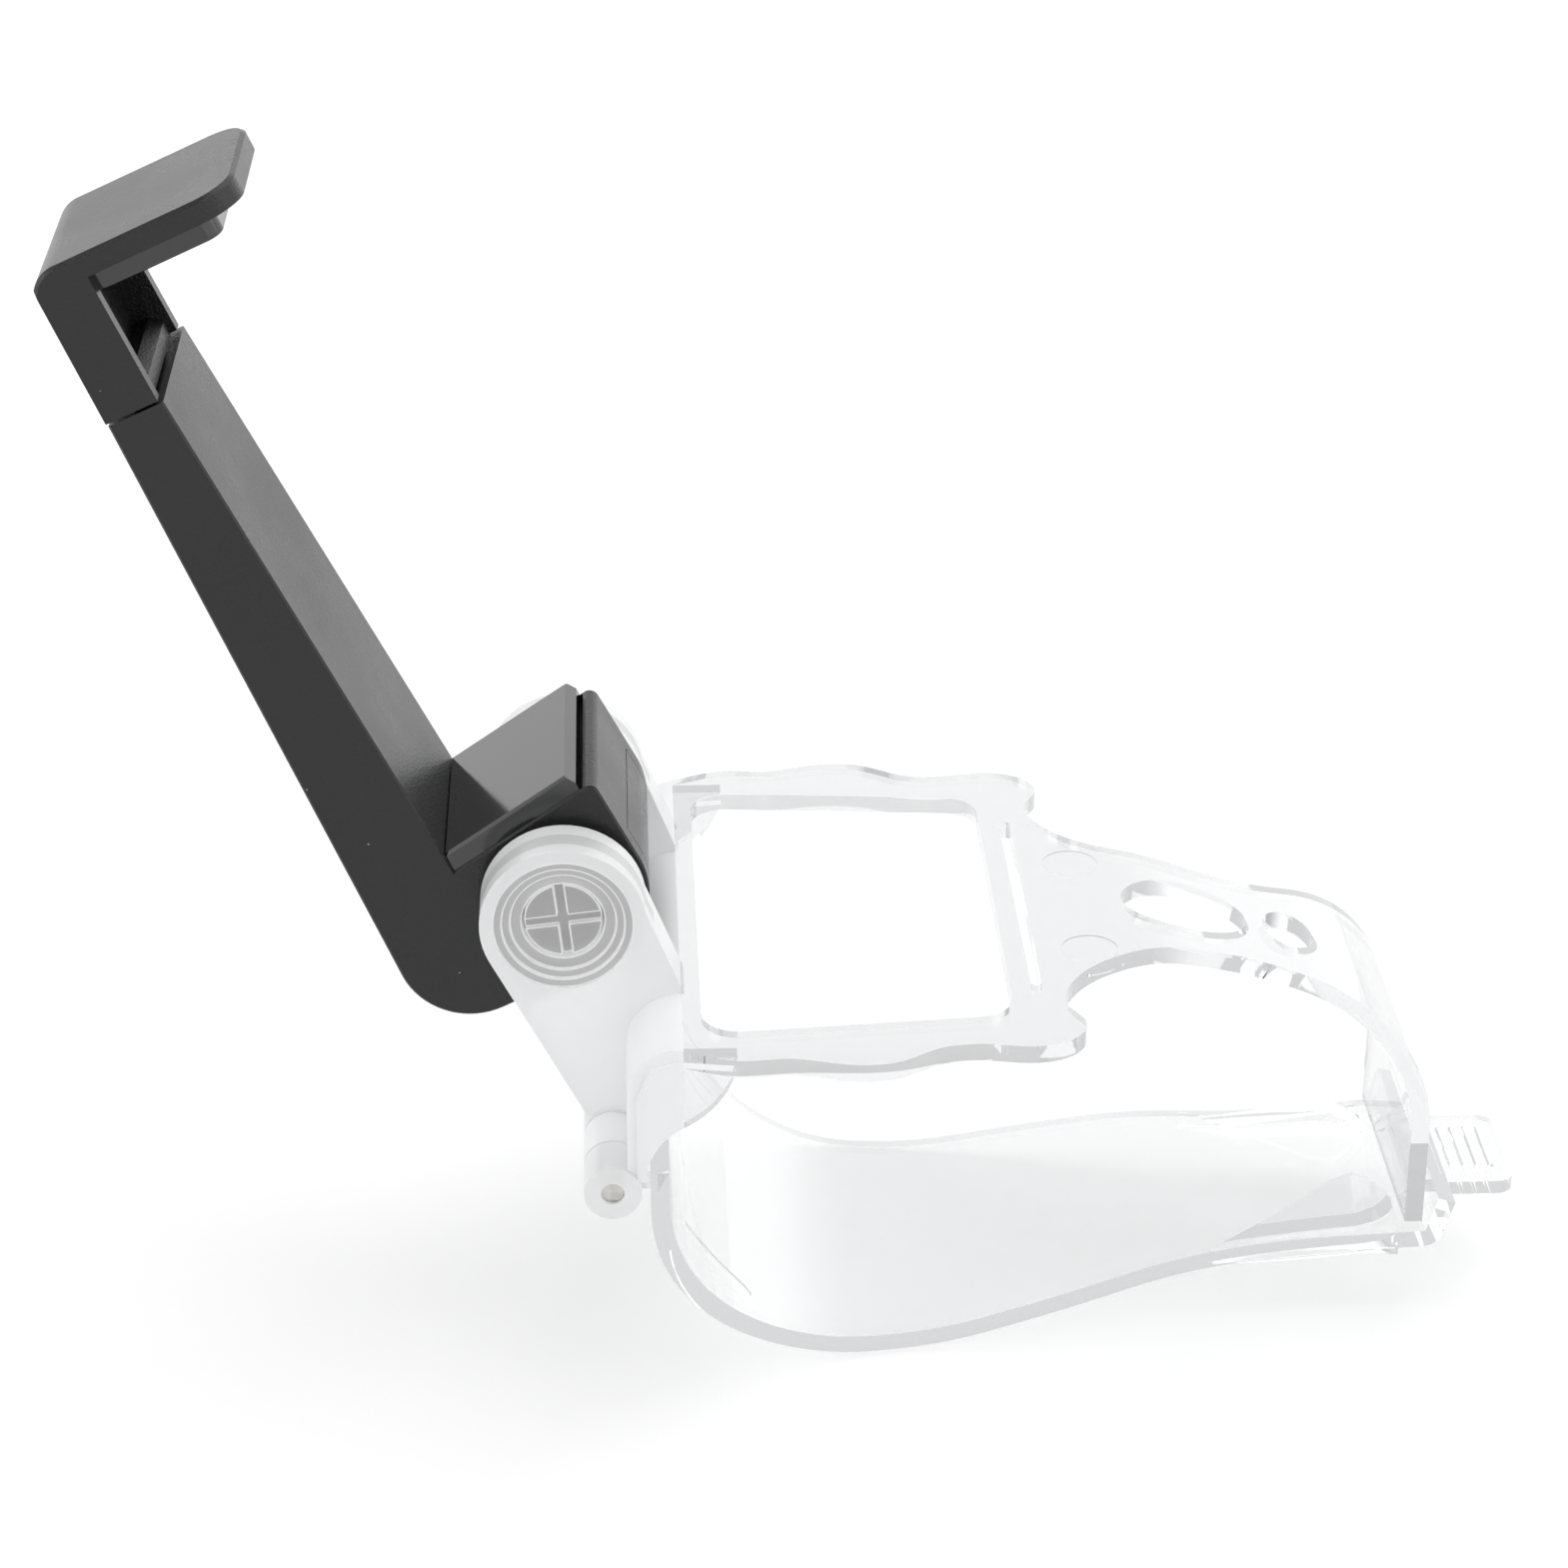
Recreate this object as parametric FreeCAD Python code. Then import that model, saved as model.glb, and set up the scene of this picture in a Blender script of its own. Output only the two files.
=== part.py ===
"""Controller phone clip: a clear hinged cradle that closes round a game controller's middle,
with two lugs that carry a tilting, spring-closed phone clamp.

Millimetres. X runs from the trigger side of the controller towards the player, Y across it,
Z up out of the touchpad. The origin is the middle of the touchpad window, on the face of the
cradle that lies on the controller.
"""

import FreeCAD, Part
import math
import os

V = FreeCAD.Vector
ALONG_Y = V(0, 1, 0)

# Phone clamp's half width, which spaces the two lugs
clamp_half = 11.5

# Clear mouldings
wall = 2.0
moving_gap = 0.35
running_gap = 0.04
seat_gap = 0.1

# Upper shell, seen from the side
front_x = -25.0
front_bend = 6.0
plate_end_x = 33.5
neck_slope = 0.283
neck_bend_in = 25.0
neck_outer_x = 63.6
neck_bend_out = 18.5
toe_bottom_z = -32.2

# Upper shell, seen from above, as half widths
shoulder_half = 34.4
front_half = shoulder_half - 2.2
plate_half = shoulder_half + 1.0
waist_half = shoulder_half - 2.6
ear_half = shoulder_half - 1.8
neck_half = 9.5
toe_half = 13.8

# Openings in the upper shell
window_front_x = -17.0
window_back_x = 16.0
window_front_half = shoulder_half - 5.9
window_back_half = waist_half - 6.0
window_corner = 4.0
sound_slot_x = 18.9
sound_slot_half = 19.5
sound_slot_width = 1.2
home_hole_x = 37.2
home_hole_length = 14.0
home_hole_width = 11.0
mute_hole_x = 49.0
mute_hole_length = 5.6
mute_hole_width = 8.0

# Lower shell
lower_front_x = -22.6
belly_z = -43.0
belly_bend = 24.5
belly_rise_x = 9.0
tail_rise_x = 35.0
tail_rise_z = -36.9
tail_z = -34.9
tail_x = 65.4
end_lip_top_z = -29.4
end_lip_lean = 1.6
lower_front_half = front_half - 1.8
belly_half = 21.0
tail_half = 14.6
wing_thick = 1.6
wing_sections = (
    (40.0, 15.2, -36.2, 14.3, -34.9),
    (45.0, 15.0, -36.0, 12.3, -33.3),
    (50.3, 14.8, -35.8, 10.1, -31.3),
    (54.0, 14.6, -35.6, 8.6, -29.8),
    (56.5, 14.5, -35.4, 8.0, -29.2),
    (58.5, 14.4, -35.3, 7.8, -30.1),
    (61.1, 14.3, -35.1, 7.8, -32.6),
)

# Round and oval marks left in the clear shells by the mould's ejectors
mark_depth = 0.15
round_mark_x = 25.6
round_mark_y = 10.2
round_mark_radius = 3.1
oval_mark_y = 19.0
oval_mark_turn = 217.5
oval_mark_length = 12.0
oval_mark_width = 4.0

# Thumb tab of the latch
tab_end_x = 75.4
tab_top_z = -31.2
tab_thick = 1.6
tab_half = 7.4
tab_corner = 2.0
tab_ribs = 4
tab_rib_pitch = 1.5
tab_rib_half = 4.2

# Front hinge
hinge_x = -26.6
hinge_z = -15.0
knuckle_radius = 3.05
hinge_pin_radius = 1.25
hinge_end_y = front_half
hinge_inner_y = clamp_half + 3.0
knuckle_share = 0.316
hinge_floor = 1.0
hinge_pin_recess = 0.4

# Tilt pivot of the phone clamp
pivot_x = -31.3
pivot_z = 10.3
lug_radius = 8.83
lug_inner_y = clamp_half + 2.0
lug_outer_y = lug_inner_y + 6.3
pivot_shaft_radius = 2.0
pivot_head_radius = 4.1
pivot_head_thick = 1.5
pivot_head_recess = 1.6
pivot_tip_y = clamp_half - 6.3
cross_slot_width = 1.1
cross_slot_depth = 0.6
cross_slot_turn = 6.0
ring_steps = ((7.4, 0.45), (6.5, 0.9), (5.6, 1.35))
washer_thick = 0.4
head_gap = 0.3
detent_teeth = 40
detent_outer_radius = 6.4
detent_tooth = 0.45

# Phone clamp, in its own frame: x forward from the pivot, z up along the arm
arm_lean = 24.6
side_draft = 0.0137
arm_back = -18.2
arm_back_low = -19.95
arm_top = 67.2
arm_front_top = -11.95
arm_front_low = -9.25
corner_z = 7.4
lip_back = 7.25
lip_x = 7.6
lip_z = 10.4
lip_round = 1.05
groove_depth = 1.0
barrel_radius = 9.2
heel_radius = 7.9
heel_z = -1.6
edge_chamfer = 0.22
cover_thick = 1.5
cover_half = clamp_half - 1.2
cover_low = 4.0
cover_high = 63.0
slot_half = clamp_half - 5.2
slot_front = -13.7
spring_bay_front = -12.1
spring_bay_low = 7.5
spring_bay_high = 29.0
block_bay_back = -4.4
block_bay_half = clamp_half - 2.2
block_bay_top = 3.7
hatch_back = 6.2
hatch_top = 2.9
hatch_seam = 0.14
hatch_low = -6.1
nut_across_flats = 7.0
nut_thick = 3.0

# Sliding jaw
jaw_seam_gap = 0.3
jaw_top = 84.35
jaw_back = -18.02
jaw_back_low = -18.3
jaw_front = -12.4
jaw_plate_thick = 2.4
jaw_reach = 4.65
jaw_wall = 1.7
jaw_back_thick = 1.8
jaw_corner_height = 1.5
jaw_corner_depth = 3.2
jaw_tip_round = 4.5
jaw_edge_chamfer = 0.4
root_front = -13.1
root_height = 1.6
root_bevel = 0.9
tongue_half = slot_half - moving_gap
tongue_low = 28.0
tongue_back = -16.6
tongue_front = -14.0
tongue_window_half = tongue_half / 2
tongue_bridge = 6.0

# Rubber pads
pad_half = clamp_half + 0.5
base_pad_thick = 2.2
base_pad_end = 6.85
base_pad_bevel = 0.8
base_pad_bevel_drop = 1.3
jaw_pad_thick = 2.3
jaw_pad_corner = 1.8
jaw_pad_half = clamp_half - 1.6
jaw_pad_end = 1.35
pad_round = 0.35

# Springs and screws inside the arm
spring_radius = 1.7
spring_wire = 0.45
spring_turns = 8
spring_steps = 12
spring_y = slot_half / 2
hook_radius = 0.7
hook_rise = 1.6
screw_head_radius = 1.6
screw_head_thick = 0.7
screw_shaft_radius = 0.9
screw_length = 5.0
screw_rows = (10.5, 58.0)
screw_y = (slot_half + cover_half) / 2


def box(x0, x1, y0, y1, z0, z1):
    """A box between two corners."""
    return Part.makeBox(x1 - x0, y1 - y0, z1 - z0, V(x0, y0, z0))


def rod(radius, x, z, y0, y1):
    """A round rod along Y."""
    return Part.makeCylinder(radius, y1 - y0, V(x, y0, z), ALONG_Y)


def prism(points, y0, y1):
    """A straight-sided outline in the XZ plane, given a width along Y."""
    wire = Part.makePolygon([V(x, y0, z) for x, z in points + points[:1]])
    return Part.Face(wire).extrude(V(0, y1 - y0, 0))


def on_side(side, near, far):
    """The two Y values of a span between near and far on one side, lowest first."""
    return (near, far) if side > 0 else (-far, -near)


def shifted_corners(corners, distance):
    """The corners of a run of straight lines moved sideways, to the left of travel."""
    lines = []
    for (ax, az), (bx, bz) in zip(corners[:-1], corners[1:]):
        length = math.hypot(bx - ax, bz - az)
        dx, dz = (bx - ax) / length, (bz - az) / length
        lines.append((ax - dz * distance, az + dx * distance, dx, dz))
    moved = [lines[0][:2]]
    for (ax, az, adx, adz), (bx, bz, bdx, bdz) in zip(lines[:-1], lines[1:]):
        reach = ((bx - ax) * bdz - (bz - az) * bdx) / (adx * bdz - adz * bdx)
        moved.append((ax + adx * reach, az + adz * reach))
    last = corners[-1]
    moved.append((last[0] - lines[-1][3] * distance, last[1] + lines[-1][2] * distance))
    return moved


def bent_edges(corners, bends, y):
    """Straight runs joined by tangent arcs, as edges in the XZ plane at y."""
    edges = []
    start = V(corners[0][0], y, corners[0][1])
    for before, corner, after, radius in zip(corners[:-2], corners[1:-1], corners[2:], bends):
        here = V(corner[0], y, corner[1])
        back = (V(before[0], y, before[1]) - here).normalize()
        ahead = (V(after[0], y, after[1]) - here).normalize()
        half = back.getAngle(ahead) / 2
        first = here + back * (radius / math.tan(half))
        last = here + ahead * (radius / math.tan(half))
        middle = (back + ahead).normalize()
        top = here + middle * (radius / math.sin(half) - radius)
        edges.append(Part.LineSegment(start, first).toShape())
        edges.append(Part.Arc(first, top, last).toShape())
        start = last
    end = V(corners[-1][0], y, corners[-1][1])
    edges.append(Part.LineSegment(start, end).toShape())
    return edges


def bent_sheet(corners, bends, thickness, half_width):
    """A sheet of even thickness that follows a bent line, with the material left of travel."""
    inner = shifted_corners(corners, thickness)
    inner_bends = []
    for (ax, az), (bx, bz), (cx, cz), radius in zip(corners, corners[1:], corners[2:], bends):
        left_turn = (bx - ax) * (cz - bz) - (bz - az) * (cx - bx) > 0
        inner_bends.append(radius - thickness if left_turn else radius + thickness)
    outer_edges = bent_edges(corners, bends, -half_width)
    inner_edges = bent_edges(inner, inner_bends, -half_width)
    ends = []
    for a, b in ((corners[0], inner[0]), (corners[-1], inner[-1])):
        low = V(a[0], -half_width, a[1])
        high = V(b[0], -half_width, b[1])
        ends.append(Part.LineSegment(low, high).toShape())
    edges = Part.sortEdges(outer_edges + inner_edges + ends)[0]
    face = Part.Face(Part.Wire(edges))
    return face.extrude(V(0, 2 * half_width, 0))


def plan_prism(half_outline, z0, z1):
    """A symmetric outline seen from above: a smooth curve of (x, half width) on each side."""
    sides = []
    for side in (1, -1):
        curve = Part.BSplineCurve()
        curve.interpolate([V(x, side * half, z0) for x, half in half_outline])
        sides.append(curve.toShape())
    ends = []
    for x, half in (half_outline[0], half_outline[-1]):
        ends.append(Part.LineSegment(V(x, -half, z0), V(x, half, z0)).toShape())
    wire = Part.Wire(Part.sortEdges([sides[0], ends[1], sides[1], ends[0]])[0])
    return Part.Face(wire).extrude(V(0, 0, z1 - z0))


def rounded_prism(points, radius, z0, z1):
    """A straight-sided plan outline with its upright corners rounded."""
    wire = Part.makePolygon([V(x, y, z0) for x, y in points + points[:1]])
    solid = Part.Face(wire).extrude(V(0, 0, z1 - z0))
    upright = [e for e in solid.Edges if abs(e.BoundBox.ZLength - (z1 - z0)) < 1e-6]
    return solid.makeFillet(radius, upright)


def oval_prism(x, length, width, z0, z1):
    """An elliptical prism, for a button's opening."""
    major, minor = (length, width) if length > width else (width, length)
    along = V(1, 0, 0) if length > width else V(0, 1, 0)
    centre = V(x, 0, z0)
    side = V(-along.y, along.x, 0)
    ellipse = Part.Ellipse(centre + along * (major / 2), centre + side * (minor / 2), centre)
    return Part.Face(Part.Wire(ellipse.toShape())).extrude(V(0, 0, z1 - z0))


def placed_on_pivot(shape):
    """Moves a piece from the clamp's own frame to its leaning place on the pivot."""
    turn = FreeCAD.Rotation(ALONG_Y, -arm_lean)
    moved = shape.copy()
    moved.Placement = FreeCAD.Placement(V(pivot_x, 0, pivot_z), turn).multiply(shape.Placement)
    return moved


def upper_outline():
    """The faceplate's edge, from the front wall to the toe, as (x, half width)."""
    front = front_x
    back = window_back_x
    neck_mid = (home_hole_x + mute_hole_x) / 2
    return [
        (front - 1, front_half),
        (front + 6, front_half),
        (front + 12, shoulder_half),
        (front + 17, shoulder_half - 0.3),
        (back - 19, plate_half),
        (back - 12.5, plate_half - 0.3),
        (back - 8.5, waist_half + 0.8),
        (back - 4.5, waist_half),
        (back + 2, ear_half),
        (back + 6.4, ear_half - 2.2),
        (back + 7.3, ear_half - 5.2),
        (back + 5.9, ear_half - 8.2),
        (back + 6.8, neck_half + 9.4),
        (back + 10.6, neck_half + 5.0),
        (back + 21.4, neck_half + 0.7),
        (neck_mid + 1.5, neck_half),
        (neck_mid + 7, neck_half + 1.1),
        (neck_outer_x - 8, toe_half - 1.3),
        (neck_outer_x - 3, toe_half - 0.1),
        (neck_outer_x + 1, toe_half),
    ]


def knuckle_spans():
    """The Y spans of one side's hinge: outer upper, lower, and inner upper knuckle."""
    length = (hinge_end_y - hinge_inner_y) * knuckle_share
    outer = (hinge_end_y - length, hinge_end_y)
    inner = (hinge_inner_y, hinge_inner_y + length)
    middle = (inner[1] + moving_gap, outer[0] - moving_gap)
    return outer, middle, inner


def upper_sheet():
    """The bent sheet of the faceplate, neck and toe, cut to its outline."""
    slope_end_z = wall - neck_slope * (neck_outer_x - plate_end_x)
    corners = [
        (neck_outer_x, toe_bottom_z),
        (neck_outer_x, slope_end_z),
        (plate_end_x, wall),
        (front_x, wall),
        (front_x, hinge_z + 0.9),
    ]
    sheet = bent_sheet(corners, (neck_bend_out, neck_bend_in, front_bend), wall, plate_half + 5)
    outline = plan_prism(upper_outline(), toe_bottom_z - 5, wall + 5)
    return sheet.common(outline)


def upper_openings():
    """The touchpad window, sound slot and two button holes, as one cutter."""
    window = rounded_prism(
        [
            (window_front_x, -window_front_half),
            (window_back_x, -window_back_half),
            (window_back_x, window_back_half),
            (window_front_x, window_front_half),
        ],
        window_corner,
        -wall,
        2 * wall,
    )
    half = sound_slot_width / 2
    slot = rounded_prism(
        [
            (sound_slot_x - half, -sound_slot_half),
            (sound_slot_x + half, -sound_slot_half),
            (sound_slot_x + half, sound_slot_half),
            (sound_slot_x - half, sound_slot_half),
        ],
        half * 0.98,
        -wall,
        2 * wall,
    )
    low = toe_bottom_z / 2
    home = oval_prism(home_hole_x, home_hole_length, home_hole_width, low, 2 * wall)
    mute = oval_prism(mute_hole_x, mute_hole_length, mute_hole_width, low, 2 * wall)
    return window.fuse([slot, home, mute])


def lug(side):
    """One strap and pivot disc, from the front wall up to the clamp's pivot."""
    y0, y1 = on_side(side, lug_inner_y, lug_outer_y)
    disc = rod(lug_radius, pivot_x, pivot_z, y0, y1)
    foot_x, foot_z = hinge_x - 2.6, hinge_z + 2.2
    reach = math.hypot(foot_x - pivot_x, foot_z - pivot_z)
    heading = math.atan2(foot_z - pivot_z, foot_x - pivot_x)
    swing = math.acos(lug_radius / reach)
    left = heading - swing
    strap = [
        (pivot_x + lug_radius * math.cos(left), pivot_z + lug_radius * math.sin(left)),
        (foot_x, foot_z),
        (hinge_x, hinge_z + 1.0),
        (front_x + wall / 2, hinge_z + 1.0),
        (front_x + wall / 2, wall - front_bend),
        (front_x + wall * 1.25, -0.25 * wall),
        (front_x + front_bend, wall / 2),
        (pivot_x + lug_radius + 4.2, wall / 2),
        (pivot_x + lug_radius * 0.985, pivot_z + lug_radius * 0.17),
        (pivot_x, pivot_z),
    ]
    return disc.fuse(prism(strap, y0, y1))


def lug_recess(side):
    """The stepped round recess in a lug's outer face, and its bore for the pivot screw."""
    cutters = []
    for radius, depth in ring_steps:
        y0, y1 = on_side(side, lug_outer_y - depth, lug_outer_y + 1)
        cutters.append(rod(radius, pivot_x, pivot_z, y0, y1))
    seat = lug_outer_y - pivot_head_recess - pivot_head_thick - washer_thick - head_gap
    y0, y1 = on_side(side, seat, lug_outer_y + 1)
    cutters.append(rod(pivot_head_radius + head_gap, pivot_x, pivot_z, y0, y1))
    y0, y1 = on_side(side, lug_inner_y - 1, lug_outer_y)
    cutters.append(rod(pivot_shaft_radius + running_gap, pivot_x, pivot_z, y0, y1))
    return cutters[0].fuse(cutters[1:])


def front_gusset(side):
    """The side web that closes the front corner and follows the controller's nose."""
    y0, y1 = on_side(side, front_half - wall, front_half)
    nose = Part.BSplineCurve()
    nose_points = [(11.6, 0.2), (10.4, -3.0), (7.5, -6.2), (4.0, -8.6), (2.3, -11.4), (1.8, -13.6)]
    nose.interpolate([V(front_x + dx, y0, z) for dx, z in nose_points])
    rim = [
        (front_x + 1.8, -13.6),
        (front_x + wall / 2, -13.6),
        (front_x + wall / 2, wall - front_bend),
        (front_x + wall * 1.25, -0.25 * wall),
        (front_x + front_bend, wall / 2),
        (front_x + 11.6, wall / 2),
        (front_x + 11.6, 0.2),
    ]
    edges = [nose.toShape()]
    for a, b in zip(rim[:-1], rim[1:]):
        edges.append(Part.LineSegment(V(a[0], y0, a[1]), V(b[0], y0, b[1])).toShape())
    face = Part.Face(Part.Wire(Part.sortEdges(edges)[0]))
    return face.extrude(V(0, y1 - y0, 0))


def upper_knuckles(side):
    """The two upper knuckles of one side's hinge."""
    outer, _, inner = knuckle_spans()
    first = rod(knuckle_radius, hinge_x, hinge_z, *on_side(side, *outer))
    second = rod(knuckle_radius, hinge_x, hinge_z, *on_side(side, *inner))
    return first.fuse(second)


def hinge_bore(side, radius):
    """The blind hole for one hinge pin, open at the outer end."""
    y0, y1 = on_side(side, hinge_inner_y + hinge_floor, hinge_end_y + 1)
    return rod(radius, hinge_x, hinge_z, y0, y1)


def make_upper_shell():
    """The clear upper moulding: faceplate, neck, toe, two lugs and the fixed knuckles."""
    _, middle, _ = knuckle_spans()
    body = upper_sheet().cut(upper_openings())
    for side in (1, -1):
        place = V(round_mark_x, side * round_mark_y, -1)
        body = body.cut(Part.makeCylinder(round_mark_radius, 1 + mark_depth, place))
    notch_radius = knuckle_radius + moving_gap
    for side in (1, -1):
        body = body.fuse([lug(side), front_gusset(side)])
        y0, y1 = on_side(side, middle[0] - moving_gap, middle[1] + moving_gap)
        body = body.cut(rod(notch_radius, hinge_x, hinge_z, y0, y1))
        body = body.fuse(upper_knuckles(side))
        body = body.cut(hinge_bore(side, hinge_pin_radius))
        body = body.cut(lug_recess(side))
    return body.removeSplitter()


def lower_outline():
    """The lower shell's edge, from the hinge to the latch, as (x, half width)."""
    return [
        (lower_front_x - 1, lower_front_half),
        (lower_front_x + 1.5, lower_front_half - 2.2),
        (lower_front_x + 6.5, lower_front_half - 5.0),
        (lower_front_x + 13.5, belly_half + 1.9),
        (lower_front_x + 24, belly_half),
        (tail_rise_x - 12, belly_half - 2.4),
        (wing_sections[0][0], tail_half + 0.9),
        (wing_sections[1][0], tail_half + 0.1),
        (wing_sections[-1][0], tail_half),
        (tail_x + 4, tail_half),
    ]


def wing(side):
    """A curled wing that rises inwards from the tail's edge and falls again before the toe."""
    sections = []
    for x, foot_half, foot_z, top_half, top_z in wing_sections:
        inward, up = foot_half - top_half, top_z - foot_z
        length = math.hypot(inward, up)
        across = V(0, side * up / length, inward / length) * wing_thick
        foot = V(x, side * foot_half, foot_z)
        top = V(x, side * top_half, top_z)
        corners = [foot, top, top - across, foot - across]
        sections.append(Part.makePolygon(corners + corners[:1]))
    return Part.makeLoft(sections, True, True)


def oval_mark(side):
    """The cutter of a shallow oval mark inside the lower shell's front bend."""
    middle = V(lower_front_x + belly_bend, side * oval_mark_y, belly_z + belly_bend)
    inner_radius = belly_bend - wall
    major, minor = oval_mark_length / 2, oval_mark_width / 2
    oval = Part.Ellipse(V(0, 0, 0), major, minor)
    prism_along_z = Part.Face(Part.Wire(oval.toShape())).extrude(V(0, 0, belly_bend))
    turn = FreeCAD.Rotation(ALONG_Y, 90 - oval_mark_turn)
    prism_along_z.Placement = FreeCAD.Placement(middle, turn)
    near = V(middle.x, middle.y - oval_mark_width, middle.z)
    barrel = Part.makeCylinder(inner_radius + mark_depth, 2 * oval_mark_width, near, ALONG_Y)
    return prism_along_z.common(barrel)


def lower_knuckle(side):
    """The lower shell's knuckle and the web that ties it to the front wall."""
    _, middle, _ = knuckle_spans()
    y0, y1 = on_side(side, *middle)
    barrel = rod(knuckle_radius, hinge_x, hinge_z, y0, y1)
    web = box(hinge_x, lower_front_x + wall / 2, y0, y1, hinge_z - knuckle_radius, hinge_z)
    return barrel.fuse(web)


def thumb_tab():
    """The latch tab with its raised grip ribs."""
    root_x = tail_x + wall / 2
    low = tab_top_z - tab_thick
    plate = box(root_x, tab_end_x, -tab_half, tab_half, low, tab_top_z)
    corners = []
    for edge in plate.Edges:
        upright = edge.BoundBox.ZLength > tab_thick * 0.9
        if upright and edge.BoundBox.XMin > root_x + 1:
            corners.append(edge)
    plate = plate.makeFillet(tab_corner, corners)
    pieces = [plate]
    for index in range(tab_ribs):
        x = tab_end_x - 2.2 - index * tab_rib_pitch
        pieces.append(rod(0.35, x, tab_top_z, -tab_rib_half, tab_rib_half))
    return pieces[0].fuse(pieces[1:])


def make_lower_shell():
    """The clear lower moulding: front wall, belly, tail with wings, latch lip and tab."""
    corners = [
        (lower_front_x, hinge_z + 0.2),
        (lower_front_x, belly_z),
        (belly_rise_x, belly_z),
        (tail_rise_x, tail_rise_z),
        (tail_x, tail_z),
        (tail_x + end_lip_lean, end_lip_top_z),
    ]
    bends = (belly_bend, 50.0, 60.0, wall + 0.4)
    sheet = bent_sheet(corners, bends, wall, lower_front_half + 5)
    body = sheet.common(plan_prism(lower_outline(), belly_z - 5, hinge_z + 5))
    body = body.fuse([wing(1), wing(-1), thumb_tab()])
    for side in (1, -1):
        body = body.cut(oval_mark(side))
        body = body.fuse(lower_knuckle(side))
        body = body.cut(hinge_bore(side, hinge_pin_radius + running_gap))
    return body.removeSplitter()


def make_hinge_pin(side):
    """One short steel pin."""
    y0, y1 = on_side(side, hinge_inner_y + hinge_floor, hinge_end_y - hinge_pin_recess)
    return rod(hinge_pin_radius, hinge_x, hinge_z, y0, y1)


def clamp_profile():
    """The side outline of the L-shaped clamp: arm, block, round end and heel."""
    heel_x = arm_back_low + heel_radius
    apart = math.hypot(heel_x, heel_z)
    normal = math.atan2(heel_z, heel_x) + math.acos((barrel_radius - heel_radius) / apart)

    def on_barrel(angle):
        return V(barrel_radius * math.cos(angle), 0, barrel_radius * math.sin(angle))

    def on_heel(angle):
        return V(heel_x + heel_radius * math.cos(angle), 0, heel_z + heel_radius * math.sin(angle))

    lip_end = lip_x + lip_round
    corners = [
        V(arm_back_low, 0, heel_z),
        V(arm_back, 0, arm_top),
        V(arm_front_top, 0, arm_top),
        V(arm_front_low, 0, corner_z),
        V(lip_x, 0, lip_z),
        V(lip_end, 0, lip_z - lip_round),
        on_barrel(0.0),
    ]
    rounding = V(lip_x + lip_round * math.sin(math.pi / 4), 0, lip_z - lip_round * (1 - math.cos(math.pi / 4)))
    edges = []
    for first, second in zip(corners[:-1], corners[1:]):
        if second == corners[5]:
            edges.append(Part.Arc(first, rounding, second).toShape())
        else:
            edges.append(Part.LineSegment(first, second).toShape())
    edges.append(Part.Arc(on_barrel(0.0), on_barrel(normal / 2), on_barrel(normal)).toShape())
    edges.append(Part.LineSegment(on_barrel(normal), on_heel(normal)).toShape())
    middle = (normal - math.pi) / 2
    edges.append(Part.Arc(on_heel(normal), on_heel(middle), on_heel(-math.pi)).toShape())
    return Part.Face(Part.Wire(edges))


def clamp_body():
    """The clamp's outline with its width: sides that widen a little from the seam to the heel."""
    wide = 2 * clamp_half
    face = clamp_profile()
    face.translate(V(0, -wide, 0))
    slab = face.extrude(V(0, 2 * wide, 0))
    low, high = heel_z - 2 * heel_radius, arm_top + 1
    low_half = clamp_half + side_draft * (arm_top - low)
    high_half = clamp_half + side_draft * (arm_top - high)
    start = arm_back_low - 1
    corners = [(-low_half, low), (low_half, low), (high_half, high), (-high_half, high)]
    wire = Part.makePolygon([V(start, y, z) for y, z in corners + corners[:1]])
    wedge = Part.Face(wire).extrude(V(2 * heel_radius - start + lip_x, 0, 0))
    return slab.common(wedge)


def bevelled_sides(body):
    """The clamp with the long edges of its two sides bevelled."""
    edges = []
    for edge in body.Edges:
        mid = edge.valueAt((edge.FirstParameter + edge.LastParameter) / 2)
        along_side = edge.BoundBox.YLength < clamp_half / 4 and abs(mid.y) > clamp_half - edge_chamfer
        if along_side and mid.z < arm_top - edge_chamfer:
            edges.append(edge)
    return body.makeChamfer(edge_chamfer, edges)


def hatch_region(margin):
    """The box that the block's hatch is cut from, grown by margin."""
    half = block_bay_half + 0.5 + margin
    return box(hatch_back - margin, 2 * barrel_radius, -half, half, hatch_low - margin, hatch_top + margin)


def hex_nut(side):
    """A hex nut on the pivot's axis, against the bay's side."""
    y0, y1 = on_side(side, block_bay_half - nut_thick, block_bay_half)
    reach = nut_across_flats / math.sqrt(3)
    corners = []
    for index in range(6):
        angle = math.radians(60 * index)
        corners.append((reach * math.cos(angle), reach * math.sin(angle)))
    return prism(corners, y0, y1).cut(rod(pivot_shaft_radius + seat_gap, 0, 0, y0 - 1, y1 + 1))


def screw_places():
    """The (y, z) places of the rear cover's screws."""
    return [(side * screw_y, z) for z in screw_rows for side in (-1, 1)]


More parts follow.
